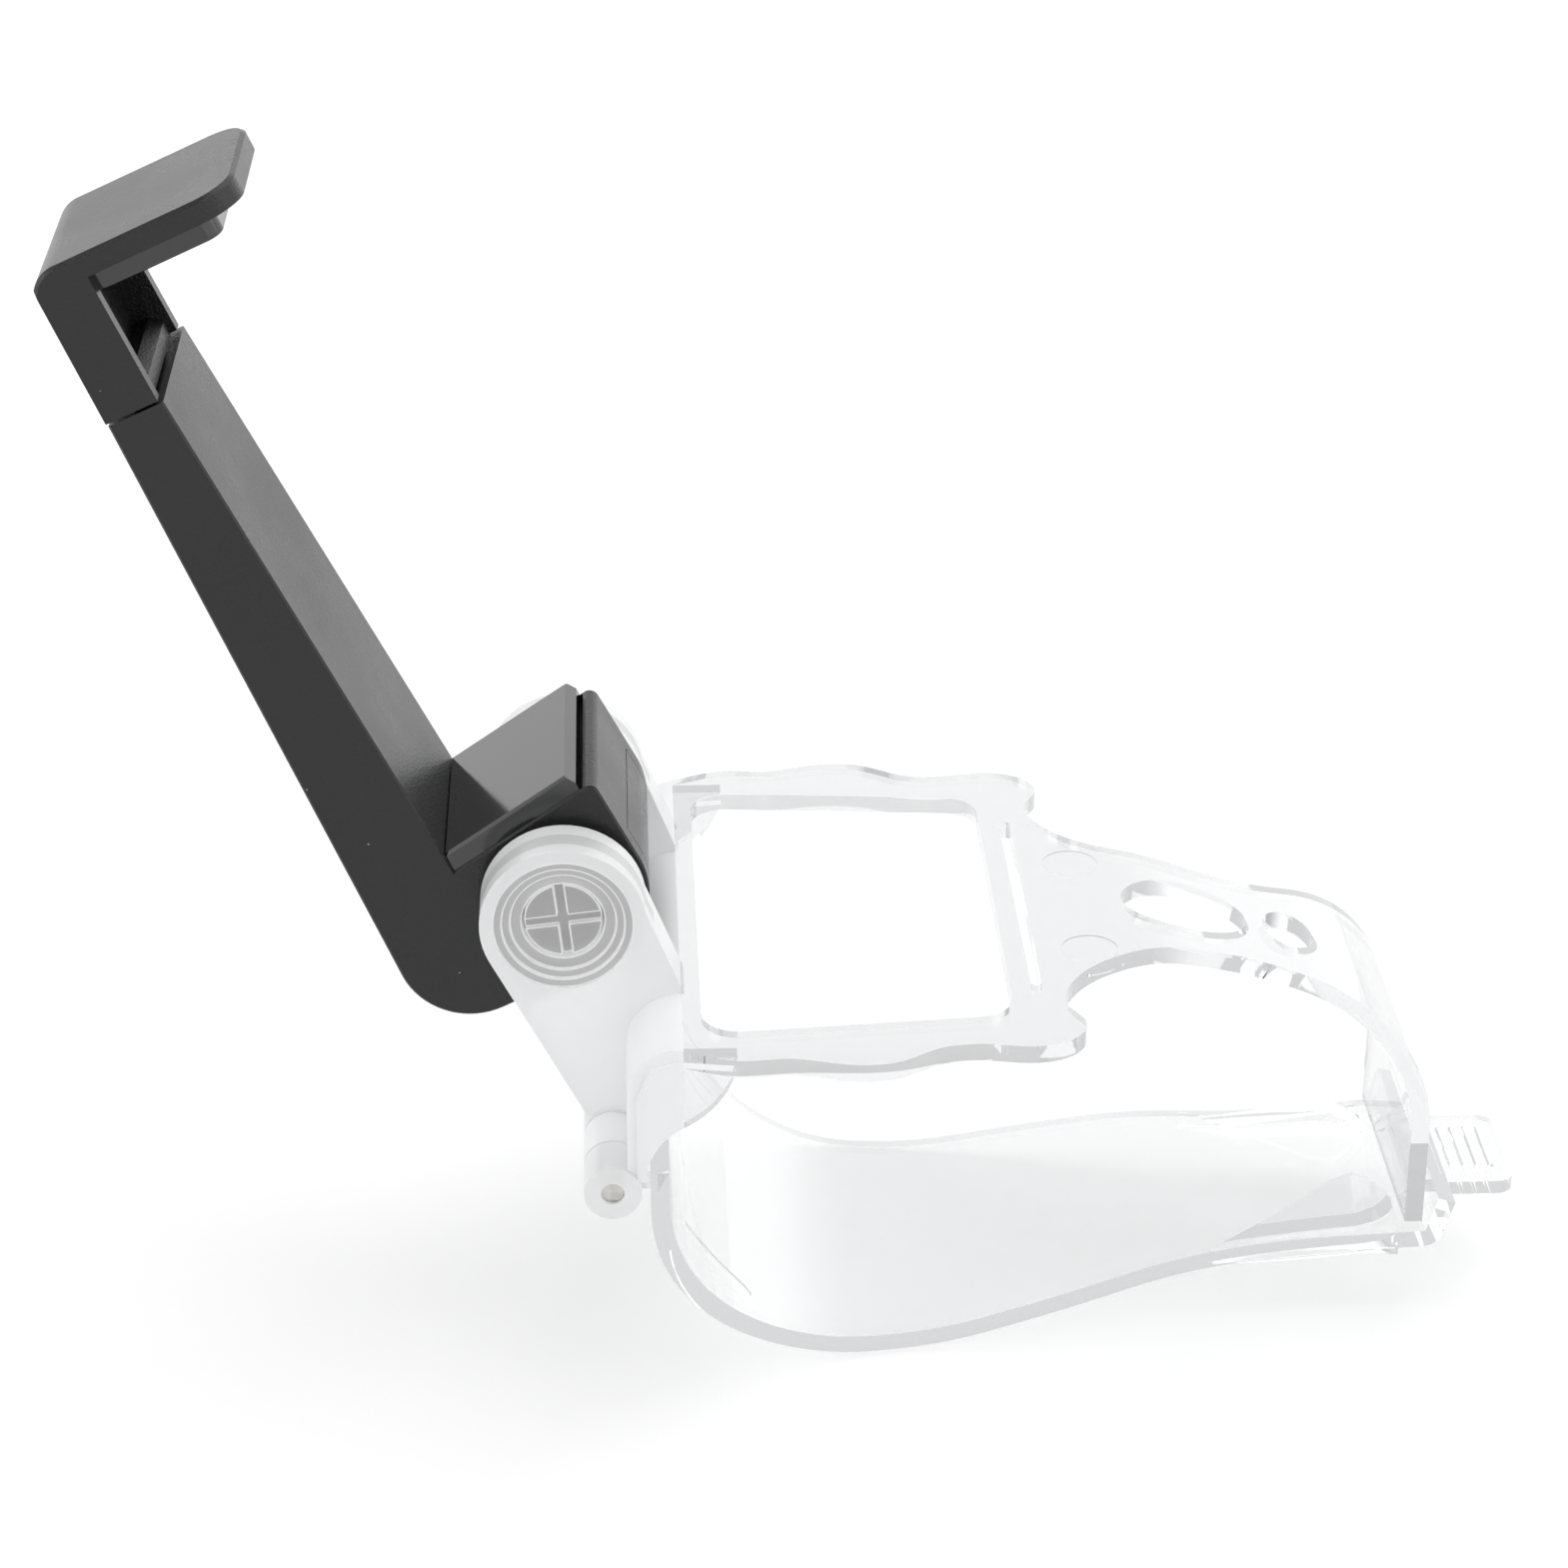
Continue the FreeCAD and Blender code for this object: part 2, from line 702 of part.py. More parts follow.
def make_clamp_arm():
    """The black L-shaped moulding: hollow arm, pivot block with a bay, and lip."""
    body = bevelled_sides(clamp_body())
    back_open = box(arm_back_low - 1, arm_back + cover_thick, -cover_half - seat_gap / 2,
                    cover_half + seat_gap / 2, cover_low - seat_gap / 2, cover_high + seat_gap / 2)
    slot = box(arm_back + cover_thick - 0.1, slot_front, -slot_half, slot_half,
               spring_bay_low, arm_top + 1)
    bay = box(arm_back + cover_thick - 0.1, spring_bay_front, -slot_half, slot_half,
              spring_bay_low, spring_bay_high)
    block_bay = box(block_bay_back, hatch_back + 0.1, -block_bay_half, block_bay_half,
                    hatch_low + 1, block_bay_top)
    groove = box(base_pad_end, lip_back, -pad_half, pad_half, lip_z - groove_depth, lip_z + 1)
    body = body.cut([back_open, slot, bay, block_bay, groove, hatch_region(hatch_seam)])
    body = body.cut(rod(pivot_shaft_radius + seat_gap, 0, 0, -2 * clamp_half, 2 * clamp_half))
    hooks = []
    for side in (-1, 1):
        start = V(spring_bay_front + 0.5, side * spring_y, spring_bay_low + hook_rise)
        length = spring_bay_front - arm_back - cover_thick
        hooks.append(Part.makeCylinder(hook_radius, length, start, V(-1, 0, 0)))
    body = body.fuse(hooks)
    for y, z in screw_places():
        start = V(arm_back, y, z)
        body = body.cut(Part.makeCylinder(screw_shaft_radius + seat_gap, screw_length + 0.5, start, V(1, 0, 0)))
    return body.removeSplitter()


def make_rear_cover():
    """The flat cover let into the arm's back, over the springs and the slide."""
    plate = box(arm_back_low - 1, arm_back + cover_thick, -cover_half, cover_half, cover_low, cover_high)
    plate = plate.common(clamp_body())
    for y, z in screw_places():
        start = V(arm_back, y, z)
        plate = plate.cut(Part.makeCylinder(screw_head_radius + seat_gap, 5.0, start, V(-1, 0, 0)))
        hole = Part.makeCylinder(screw_shaft_radius + seat_gap, cover_thick, start, V(1, 0, 0))
        sink = Part.makeCylinder(screw_head_radius + seat_gap, screw_head_thick, start, V(1, 0, 0))
        plate = plate.cut([hole, sink])
    return plate


def make_cover_screws():
    """The rear cover's four screws, as separate solids."""
    screws = []
    for y, z in screw_places():
        start = V(arm_back, y, z)
        head = Part.makeCylinder(screw_head_radius, screw_head_thick, start, V(1, 0, 0))
        shaft = Part.makeCylinder(screw_shaft_radius, screw_length, start, V(1, 0, 0))
        screws.append(head.fuse(shaft).removeSplitter())
    return Part.makeCompound(screws)


def make_base_hatch():
    """The hatch in the block's round end, over the pivot nuts."""
    return clamp_body().common(hatch_region(0.0))


def jaw_head():
    """The jaw's top plate and the block that its channel is cut from, with a bevelled top edge."""
    seam = arm_top + jaw_seam_gap
    plate_low = jaw_top - jaw_plate_thick
    start = V(jaw_back, 0, jaw_top - jaw_corner_height)
    bend = V(jaw_back + jaw_corner_depth * 0.3, 0, jaw_top - jaw_corner_height * 0.38)
    finish = V(jaw_back + jaw_corner_depth, 0, jaw_top)
    corners = [
        finish,
        V(jaw_reach, 0, jaw_top),
        V(jaw_reach, 0, plate_low),
        V(jaw_front, 0, plate_low),
        V(jaw_front, 0, seam),
        V(jaw_back_low, 0, seam),
        start,
    ]
    edges = [Part.Arc(start, bend, finish).toShape()]
    for first, second in zip(corners[:-1], corners[1:]):
        edges.append(Part.LineSegment(first, second).toShape())
    face = Part.Face(Part.Wire(edges))
    face.translate(V(0, -clamp_half, 0))
    head = face.extrude(V(0, 2 * clamp_half, 0))
    tip = []
    for edge in head.Edges:
        upright = abs(edge.BoundBox.ZLength - jaw_plate_thick) < 1e-3
        if upright and edge.BoundBox.XMin > jaw_front:
            tip.append(edge)
    head = head.makeFillet(jaw_tip_round, tip)
    rim = []
    for edge in head.Edges:
        on_top = edge.BoundBox.ZMin > jaw_top - jaw_corner_height - 1e-3
        if on_top and (edge.BoundBox.XLength > 1e-3 or edge.BoundBox.XMin > jaw_front):
            rim.append(edge)
    return head.makeChamfer(jaw_edge_chamfer, rim)


def make_sliding_jaw():
    """The upper jaw: top plate, open channel head and the tongue that slides in the arm."""
    seam = arm_top + jaw_seam_gap
    inside = clamp_half - jaw_wall
    hollow = box(jaw_back + jaw_back_thick, 0, -inside, inside, seam - 1, jaw_top - jaw_plate_thick)
    tongue = box(tongue_back, tongue_front, -tongue_half, tongue_half, tongue_low, seam + root_height)
    root = prism(
        [
            (jaw_back, seam),
            (root_front, seam),
            (root_front, seam + root_height),
            (root_front - 1.5 * root_bevel, seam + root_height + root_bevel),
            (jaw_back, seam + root_height + root_bevel),
        ],
        -inside - jaw_wall / 2,
        inside + jaw_wall / 2,
    )
    window = box(tongue_back - 1, tongue_front + 1, -tongue_window_half, tongue_window_half,
                 tongue_low + tongue_bridge, seam - tongue_bridge)
    return jaw_head().cut(hollow).fuse([tongue.cut(window), root]).removeSplitter()


def make_jaw_pad():
    """The rubber pad under the jaw's top plate."""
    top = jaw_top - jaw_plate_thick
    pad = box(jaw_front, jaw_pad_end, -jaw_pad_half, jaw_pad_half, top - jaw_pad_thick, top)
    end = [e for e in pad.Edges if e.BoundBox.ZLength > jaw_pad_thick * 0.9 and e.BoundBox.XMin > 0]
    pad = pad.makeFillet(jaw_pad_corner, end)
    low = [e for e in pad.Edges if e.BoundBox.ZMax < top - jaw_pad_thick + 1e-3]
    return pad.makeFillet(pad_round, low)


def make_base_pad():
    """The rubber pad on the block, bevelled down towards the lip and along its sides."""
    slope = (lip_z - corner_z) / (lip_x - arm_front_low)
    start = arm_front_low

    def surface(x):
        return corner_z + slope * (x - arm_front_low)

    bevel_x = base_pad_end - base_pad_bevel
    outline = [
        (start, surface(start)),
        (start, surface(start) + base_pad_thick),
        (bevel_x, surface(bevel_x) + base_pad_thick),
        (base_pad_end, surface(base_pad_end) + base_pad_thick - base_pad_bevel_drop),
        (base_pad_end, surface(base_pad_end)),
    ]
    section = [
        (-pad_half, -1.0),
        (pad_half, -1.0),
        (pad_half, base_pad_thick - pad_round),
        (pad_half - pad_round, base_pad_thick),
        (pad_round - pad_half, base_pad_thick),
        (-pad_half, base_pad_thick - pad_round),
    ]
    wire = Part.makePolygon([V(0, y, z) for y, z in section + section[:1]])
    crown = Part.Face(wire).extrude(V(2 * (base_pad_end - start), 0, 0))
    crown.rotate(V(0, 0, 0), ALONG_Y, -math.degrees(math.atan(slope)))
    crown.translate(V(start - 1, 0, surface(start - 1)))
    return prism(outline, -pad_half, pad_half).common(crown)


def make_spring(side):
    """One extension spring that pulls the jaw's tongue down, its wire six-sided."""
    low = spring_bay_low + hook_rise + hook_radius + spring_wire
    height = tongue_low - moving_gap - spring_wire - low
    middle = V((arm_back + cover_thick + spring_bay_front) / 2, side * spring_y, low)
    rings = []
    for step in range(spring_turns * spring_steps + 1):
        turn = 2 * math.pi * step / spring_steps
        outward = V(math.cos(turn), math.sin(turn), 0)
        centre = middle + outward * spring_radius + V(0, 0, height * step / (spring_turns * spring_steps))
        ring = []
        for corner in range(6):
            angle = math.pi * corner / 3
            ring.append(centre + (outward * math.cos(angle) + V(0, 0, math.sin(angle))) * (spring_wire / 2))
        rings.append(ring)
    faces = [Part.Face(Part.makePolygon(rings[0] + rings[0][:1]))]
    faces.append(Part.Face(Part.makePolygon(rings[-1] + rings[-1][:1])))
    for lower, upper in zip(rings[:-1], rings[1:]):
        for corner in range(6):
            after = (corner + 1) % 6
            for points in (
                (lower[corner], lower[after], upper[after]),
                (lower[corner], upper[after], upper[corner]),
            ):
                faces.append(Part.Face(Part.makePolygon([*points, points[0]])))
    coil = Part.Solid(Part.Shell(faces))
    if coil.Volume < 0:
        coil.reverse()
    return coil


def make_pivot_screw(side):
    """A cross-slotted pivot screw, seated in the lug's recess."""
    head_top = lug_outer_y - pivot_head_recess
    head_low = head_top - pivot_head_thick
    head = rod(pivot_head_radius, 0, 0, *on_side(side, head_low, head_top))
    shaft = rod(pivot_shaft_radius, 0, 0, *on_side(side, pivot_tip_y, head_low))
    y0, y1 = on_side(side, head_top - cross_slot_depth, head_top + 1)
    half = cross_slot_width / 2
    bar = box(-pivot_head_radius - 1, pivot_head_radius + 1, y0, y1, -half, half)
    other = box(-half, half, y0, y1, -pivot_head_radius - 1, pivot_head_radius + 1)
    cross = bar.fuse(other)
    cross.rotate(V(0, 0, 0), ALONG_Y, arm_lean - cross_slot_turn)
    return head.fuse(shaft).cut(cross).removeSplitter()


def make_spring_washer(side):
    """The thin washer under the pivot screw's head."""
    top = lug_outer_y - pivot_head_recess - pivot_head_thick
    y0, y1 = on_side(side, top - washer_thick, top)
    ring = rod(pivot_head_radius - head_gap, 0, 0, y0, y1)
    return ring.cut(rod(pivot_shaft_radius + seat_gap, 0, 0, y0 - 1, y1 + 1))


def make_detent_ring(side):
    """The finely toothed ring between the clamp's side and the lug."""
    side_face = clamp_half + side_draft * (arm_top + detent_outer_radius)
    y0, y1 = on_side(side, side_face + seat_gap / 2, lug_inner_y - moving_gap)
    points = []
    for index in range(2 * detent_teeth):
        radius = detent_outer_radius - (index % 2) * detent_tooth
        angle = math.pi * index / detent_teeth
        points.append((radius * math.cos(angle), radius * math.sin(angle)))
    return prism(points, y0, y1).cut(rod(pivot_shaft_radius + seat_gap, 0, 0, y0 - 1, y1 + 1))


def main():
    """Builds every piece and writes one file for each."""
    pieces = {
        "upper_shell": make_upper_shell(),
        "lower_shell": make_lower_shell(),
    }
    on_clamp = {
        "clamp_arm": make_clamp_arm(),
        "arm_rear_cover": make_rear_cover(),
        "rear_cover_screws": make_cover_screws(),
        "base_hatch": make_base_hatch(),
        "base_pad": make_base_pad(),
        "sliding_jaw": make_sliding_jaw(),
        "jaw_pad": make_jaw_pad(),
    }
    for name, side in (("left", -1), ("right", 1)):
        pieces["hinge_pin_" + name] = make_hinge_pin(side)
        on_clamp["pivot_screw_" + name] = make_pivot_screw(side)
        on_clamp["spring_washer_" + name] = make_spring_washer(side)
        on_clamp["detent_ring_" + name] = make_detent_ring(side)
        on_clamp["pivot_nut_" + name] = hex_nut(side)
        on_clamp["jaw_spring_" + name] = make_spring(side)
    for name, shape in on_clamp.items():
        pieces[name] = placed_on_pivot(shape)
    os.makedirs("parts", exist_ok=True)
    for name, shape in pieces.items():
        shape.exportStep(os.path.join("parts", name + ".step"))
        box_size = shape.BoundBox
        print(f"{name}: valid {shape.isValid()}, solids {len(shape.Solids)}, "
              f"{box_size.XLength:.1f} x {box_size.YLength:.1f} x {box_size.ZLength:.1f}")


main()
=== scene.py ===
"""Looks of the controller phone clip: clear cradle, black clamp, rubber pads and steel hardware.

Every length is in metres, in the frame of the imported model.
"""

import logging
import math
from dataclasses import dataclass
from enum import Enum

import bpy
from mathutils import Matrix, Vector
from mathutils.bvhtree import BVHTree
from mathutils.interpolate import poly_3d_calc

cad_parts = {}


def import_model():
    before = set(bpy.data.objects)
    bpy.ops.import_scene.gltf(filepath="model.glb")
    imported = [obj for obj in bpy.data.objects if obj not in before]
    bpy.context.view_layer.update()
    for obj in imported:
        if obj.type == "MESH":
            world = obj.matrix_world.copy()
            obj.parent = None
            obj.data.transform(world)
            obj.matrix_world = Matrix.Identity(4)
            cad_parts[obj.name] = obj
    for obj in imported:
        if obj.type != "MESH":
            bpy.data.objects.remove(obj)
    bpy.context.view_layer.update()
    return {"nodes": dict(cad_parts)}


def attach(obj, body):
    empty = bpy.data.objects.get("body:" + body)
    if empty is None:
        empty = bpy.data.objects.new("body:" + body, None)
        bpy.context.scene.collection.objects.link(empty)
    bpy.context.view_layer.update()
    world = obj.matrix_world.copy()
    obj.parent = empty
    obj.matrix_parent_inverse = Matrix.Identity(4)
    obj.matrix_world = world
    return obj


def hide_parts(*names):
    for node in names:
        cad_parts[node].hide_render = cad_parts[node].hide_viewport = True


LOG = logging.getLogger("phone_clip")

Colour = tuple[float, float, float]
Point = tuple[float, float, float]
Span = tuple[float, float]
Socket = bpy.types.NodeSocket

# Nearly all values of a noise lie between these two.
NOISE_SPAN: Span = (0.3, 0.7)
NOISE_ROUGHNESS = 0.55


class Body(Enum):
    """The bodies that the two clear shells ride on."""

    CRADLE = "cradle"
    LOWER = "lower_shell"


class Slot(Enum):
    """The record's material slots."""

    CLEAR = "clear_plastic"
    CLEAR_LOWER = "clear_plastic_lower"
    CLEAR_SCREW = "clear_plastic_screw"
    BLACK = "black_plastic"
    BLACK_COVER = "black_plastic_cover"
    RUBBER = "black_rubber"
    STEEL = "steel"


class Mark(Enum):
    """The masks round the pivot for painted highlights and painted shade, by the names of their sockets."""

    RINGS = "Ring Highlight"
    SLOT_HIGHLIGHTS = "Slot Highlight"
    RECESS_SHADE = "Inside"
    RIM_SHADE = "Rim Shade"


Finishes = dict[Slot, bpy.types.Material]


def grey(level: float) -> tuple[float, float, float, float]:
    """Gives an opaque grey, where 1 is white."""
    return (level, level, level, 1.0)


def shaded(colour: Colour, share: float) -> Colour:
    """Makes a colour darker, or lighter where the share is above 1."""
    return tuple(c * share for c in colour)


class Tree:
    """A short way to write the nodes of a material, the room or a shader group."""

    def __init__(self, nodes: bpy.types.NodeTree) -> None:
        """Starts on a tree.

        Args:
            nodes: the tree that the nodes go into.
        """
        self.tree = nodes

    @classmethod
    def group(cls, name: str, inputs: dict[str, float], outputs: tuple[str, ...]) -> "Tree":
        """Makes an empty shader group with its number sockets.

        Args:
            name: the group's name.
            inputs: each input with its usual value.
            outputs: each output's name.

        Returns:
            The helper that writes into the group.
        """
        made = bpy.data.node_groups.new(name, "ShaderNodeTree")
        for label, value in inputs.items():
            socket = made.interface.new_socket(label, in_out="INPUT", socket_type="NodeSocketFloat")
            socket.default_value = value
        for label in outputs:
            made.interface.new_socket(label, in_out="OUTPUT", socket_type="NodeSocketFloat")
        return cls(made)

    def add(self, kind: str, **settings: object) -> bpy.types.Node:
        """Adds one node.

        Args:
            kind: the node's type name.
            **settings: attributes of the node, or values of its inputs with _ for a space.

        Returns:
            The new node.
        """
        node = self.tree.nodes.new(kind)
        for name, value in settings.items():
            if hasattr(node, name):
                setattr(node, name, value)
            else:
                node.inputs[name.replace("_", " ").title()].default_value = value
        return node

    def link(self, source: Socket, target: Socket) -> None:
        """Joins an output to an input."""
        self.tree.links.new(source, target)

    def axes(self, coordinates: str) -> bpy.types.Node:
        """Adds coordinates, split by axis.

        Args:
            coordinates: Object for a piece's own, Generated for the room's.

        Returns:
            The node with the outputs X, Y and Z.
        """
        place = self.add("ShaderNodeTexCoord")
        parts = self.add("ShaderNodeSeparateXYZ")
        self.link(place.outputs[coordinates], parts.inputs["Vector"])
        return parts

    def math(self, operation: str, *values: object) -> Socket:
        """Adds a sum.

        Args:
            operation: the kind of sum.
            *values: its values, each a socket or a number.

        Returns:
            The result's socket.
        """
        node = self.add("ShaderNodeMath", operation=operation)
        for value, entry in zip(values, node.inputs):
            if isinstance(value, Socket):
                self.link(value, entry)
            else:
                entry.default_value = value
        return node.outputs["Value"]

    def blend(self, share: Socket, first: Socket, level: float) -> Socket:
        """Mixes a colour with a grey.

        Args:
            share: the grey's share.
            first: the colour.
            level: the grey's brightness.

        Returns:
            The mixed colour's socket.
        """
        mix = self.add("ShaderNodeMix", data_type="RGBA")
        self.link(share, mix.inputs["Factor"])
        self.link(first, mix.inputs["A"])
        mix.inputs["B"].default_value = grey(level)
        return mix.outputs["Result"]

    def spread(self, source: Socket, span: Span, to: Span, soft: bool = False) -> Socket:
        """Maps a value from one range to another.

        Args:
            source: the value.
            span: its range.
            to: the range of the result.
            soft: whether the ends ease in and out.

        Returns:
            The result's socket.
        """
        node = self.add("ShaderNodeMapRange", interpolation_type="SMOOTHSTEP" if soft else "LINEAR")
        self.link(source, node.inputs["Value"])
        for label, value in zip(("From Min", "From Max", "To Min", "To Max"), (*span, *to)):
            node.inputs[label].default_value = value
        return node.outputs["Result"]

    def tones(self, source: Socket, low: Colour, high: Colour) -> Socket:
        """Turns a noise into a colour between two tones.

        Args:
            source: the noise's value.
            low: the colour at the low end of the noise's span.
            high: the colour at its high end.

        Returns:
            The colour's socket.
        """
        ramp = self.add("ShaderNodeValToRGB")
        for element, place, colour in zip(ramp.color_ramp.elements, NOISE_SPAN, (low, high)):
            element.position = place
            element.color = (*colour, 1)
        self.link(source, ramp.inputs["Fac"])
        return ramp.outputs["Color"]


@dataclass(frozen=True)
class PivotMarks:
    """Where highlights are painted on the edges of the steps round the pivot and of the slot in its screw,
    and shade in the recess and on the lugs' rims.
    """

    x: float = -0.0313
    z: float = 0.0103
    ring_radii: tuple[float, ...] = (0.0044, 0.0056, 0.0065, 0.0074)
    # Half the width of a marked edge.
    line_half: float = 0.00011
    slot_half: float = 0.00055
    # Degrees that the cross slot is turned by.
    slot_turn: float = 6.0
    head_radius: float = 0.0041
    # A band of painted shade runs round each lug's rim, between its two faces.
    rim_inner: float = 0.0085
    rim_outer: float = 0.0096
    rim_middle: float = 0.0168
    rim_half: float = 0.0011

    def group(self) -> bpy.types.NodeTree:
        """Builds the group.

        Returns:
            A group with masks for the painted highlights on the ring edges and the slot's edges, and for
            the painted shade in the stepped recess and on the lug's rim.
        """
        t = Tree.group("pivot_marks", {"Line Half": self.line_half}, tuple(mark.value for mark in Mark))
        entry, leave = t.add("NodeGroupInput"), t.add("NodeGroupOutput")
        line = entry.outputs["Line Half"]
        parts = t.axes("Object")
        across = t.math("SUBTRACT", parts.outputs["X"], self.x)
        up = t.math("SUBTRACT", parts.outputs["Z"], self.z)
        squares = t.math("ADD", t.math("MULTIPLY", across, across), t.math("MULTIPLY", up, up))
        radius = t.math("SQRT", squares)
        slot = self.slot_lines(t, across, up, line)
        # Painted highlights on the ring and slot edges, painted shade in the recess and on the rim.
        t.link(self.ring_lines(t, radius, line), leave.inputs[Mark.RINGS.value])
        t.link(self.head_lines(t, radius, slot, line), leave.inputs[Mark.SLOT_HIGHLIGHTS.value])
        t.link(t.math("LESS_THAN", radius, self.ring_radii[-1]), leave.inputs[Mark.RECESS_SHADE.value])
        t.link(self.rim_band(t, radius, parts.outputs["Y"]), leave.inputs[Mark.RIM_SHADE.value])
        return t.tree

    def ring_lines(self, t: Tree, radius: Socket, line: Socket) -> Socket:
        """Marks the edges of the steps round the pivot, for painted highlights.

        Args:
            t: the group's tree.
            radius: the distance from the pivot's axis.
            line: half the width of a marked edge.

        Returns:
            The mask's socket.
        """
        rings = t.math("COMPARE", radius, self.ring_radii[0], line)
        for ring in self.ring_radii[1:]:
            rings = t.math("MAXIMUM", rings, t.math("COMPARE", radius, ring, line))
        return rings

    def slot_lines(self, t: Tree, across: Socket, up: Socket, line: Socket) -> Socket:
        """Marks the edges of both bars of the screw's cross slot, for painted highlights.

        Args:
            t: the group's tree.
            across: the distance from the pivot's axis along X.
            up: the distance from the axis along Z.
            line: half the width of a marked edge.

        Returns:
            The mask's socket.
        """
        cosine = math.cos(math.radians(self.slot_turn))
        sine = math.sin(math.radians(self.slot_turn))
        first = t.math("ABSOLUTE", t.math("MULTIPLY_ADD", across, cosine, t.math("MULTIPLY", up, sine)))
        second = t.math("ABSOLUTE", t.math("MULTIPLY_ADD", up, cosine, t.math("MULTIPLY", across, -sine)))
        one_bar = self.bar_edges(t, first, second, line)
        other_bar = self.bar_edges(t, second, first, line)
        return t.math("MAXIMUM", one_bar, other_bar)

    def bar_edges(self, t: Tree, near: Socket, far: Socket, line: Socket) -> Socket:
        """Marks the two edges of one bar of the slot, outside the other bar.

        Args:
            t: the group's tree.
            near: the distance from the bar's middle line.
            far: the distance from the other bar's middle line.
            line: half the width of a marked edge.

        Returns:
            The mask's socket.
        """
        on_edge = t.math("COMPARE", near, self.slot_half, line)
        return t.math("MULTIPLY", on_edge, t.math("GREATER_THAN", far, self.slot_half))

    def head_lines(self, t: Tree, radius: Socket, slot: Socket, line: Socket) -> Socket:
        """Adds the screw head's edge to the slot's, which end there.

        Args:
            t: the group's tree.
            radius: the distance from the pivot's axis.
            slot: the mask of the slot's edges.
            line: half the width of a marked edge.

        Returns:
            The mask's socket.
        """
        edge = t.math("COMPARE", radius, self.head_radius, line)
        on_head = t.math("LESS_THAN", radius, self.head_radius)
        return t.math("MAXIMUM", edge, t.math("MULTIPLY", slot, on_head))

    def rim_band(self, t: Tree, radius: Socket, sideways: Socket) -> Socket:
        """Marks the band of painted shade on the rims of both lugs.

        Args:
            t: the group's tree.
            radius: the distance from the pivot's axis.
            sideways: the place along Y.

        Returns:
            The mask's socket.
        """
        aside = t.math("ABSOLUTE", sideways)
        band = t.math("COMPARE", aside, self.rim_middle, self.rim_half)
        outside = t.math("GREATER_THAN", radius, self.rim_inner)
        near = t.math("LESS_THAN", radius, self.rim_outer)
        return t.math("MULTIPLY", band, t.math("MULTIPLY", outside, near))


@dataclass(frozen=True)
class Noise:
    """One noise of a shader group, with its scale in waves a metre."""

    label: str
    scale: float
    detail: float


class Effects:
    """The shader groups that the finishes share."""

    def __init__(self) -> None:
        """Makes every group once."""
        self.grain = self.fine_grain()
        self.flow = self.soft_flow()
        self.dust = self.dust_specks()
        self.marks = PivotMarks().group()

    @staticmethod
    def two_noises(name: str, *noises: Noise) -> bpy.types.NodeTree:
        """Makes a group of noises on the piece's own coordinates, each named after what it drives.

        Args:
            name: the group's name.
            *noises: the noises.

        Returns:
            The group, with an input for each noise's scale and an output for its value.
        """
        scales = {f"{noise.label} Scale": noise.scale for noise in noises}
        t = Tree.group(name, scales, tuple(noise.label for noise in noises))
        entry, leave = t.add("NodeGroupInput"), t.add("NodeGroupOutput")
        place = t.add("ShaderNodeTexCoord")
        for noise in noises:
            node = t.add("ShaderNodeTexNoise", detail=noise.detail, roughness=NOISE_ROUGHNESS)
            t.link(place.outputs["Object"], node.inputs["Vector"])
            t.link(entry.outputs[f"{noise.label} Scale"], node.inputs["Scale"])
            t.link(node.outputs["Fac"], leave.inputs[noise.label])
        return t.tree

    @staticmethod
    def fine_grain() -> bpy.types.NodeTree:
        """Makes spark-eroded mould grain with a slow drift in gloss."""
        return Effects.two_noises("fine_grain", Noise("Height", 3600.0, 2.0), Noise("Drift", 60.0, 3.0))

    @staticmethod
    def soft_flow() -> bpy.types.NodeTree:
        """Makes the faint unevenness and haze of a clear moulding's skin."""
        return Effects.two_noises("soft_flow", Noise("Height", 110.0, 1.5), Noise("Haze", 420.0, 4.0))

    @staticmethod
    def dust_specks() -> bpy.types.NodeTree:
        """Makes sparse tiny dust specks.

        Returns:
            A group with the output Speck, 1 on a speck.
        """
        t = Tree.group("dust_specks", {"Cell Scale": 330.0, "Size": 0.035, "Bare Share": 0.72}, ("Speck",))
        entry, leave = t.add("NodeGroupInput"), t.add("NodeGroupOutput")
        place = t.add("ShaderNodeTexCoord")
        cells = t.add("ShaderNodeTexVoronoi")
        t.link(place.outputs["Object"], cells.inputs["Vector"])
        t.link(entry.outputs["Cell Scale"], cells.inputs["Scale"])
        colour = t.add("ShaderNodeSeparateColor")
        t.link(cells.outputs["Color"], colour.inputs["Color"])
        few = t.math("GREATER_THAN", colour.outputs["Red"], entry.outputs["Bare Share"])
        near = t.math("LESS_THAN", cells.outputs["Distance"], entry.outputs["Size"])
        t.link(t.math("MULTIPLY", few, near), leave.inputs["Speck"])
        return t.tree


@dataclass(frozen=True)
class Finish:
    """One surface finish; the subclasses build its nodes."""

    name: str

    def start(self) -> tuple[bpy.types.Material, Tree, bpy.types.Node, bpy.types.Node]:
        """Makes a material with only a surface shader.

        Returns:
            The material, its tree, its surface shader and its output.
        """
        made = bpy.data.materials.new(self.name)
        made.use_nodes = True
        made.node_tree.nodes.clear()
        t = Tree(made.node_tree)
        surface = t.add("ShaderNodeBsdfPrincipled")
        out = t.add("ShaderNodeOutputMaterial")
        t.link(surface.outputs["BSDF"], out.inputs["Surface"])
        return made, t, surface, out

    @staticmethod
    def bump(t: Tree, surface: bpy.types.Node, height: Socket, strength: float, depth: float) -> None:
        """Raises a surface by a pattern.

        Args:
            t: the material's tree.
            surface: its surface shader.
            height: the pattern.
            strength: how strongly it shows.
            depth: its full height in metres.
        """
        node = t.add("ShaderNodeBump", Strength=strength, Distance=depth)
        t.link(height, node.inputs["Height"])
        t.link(node.outputs["Normal"], surface.inputs["Normal"])


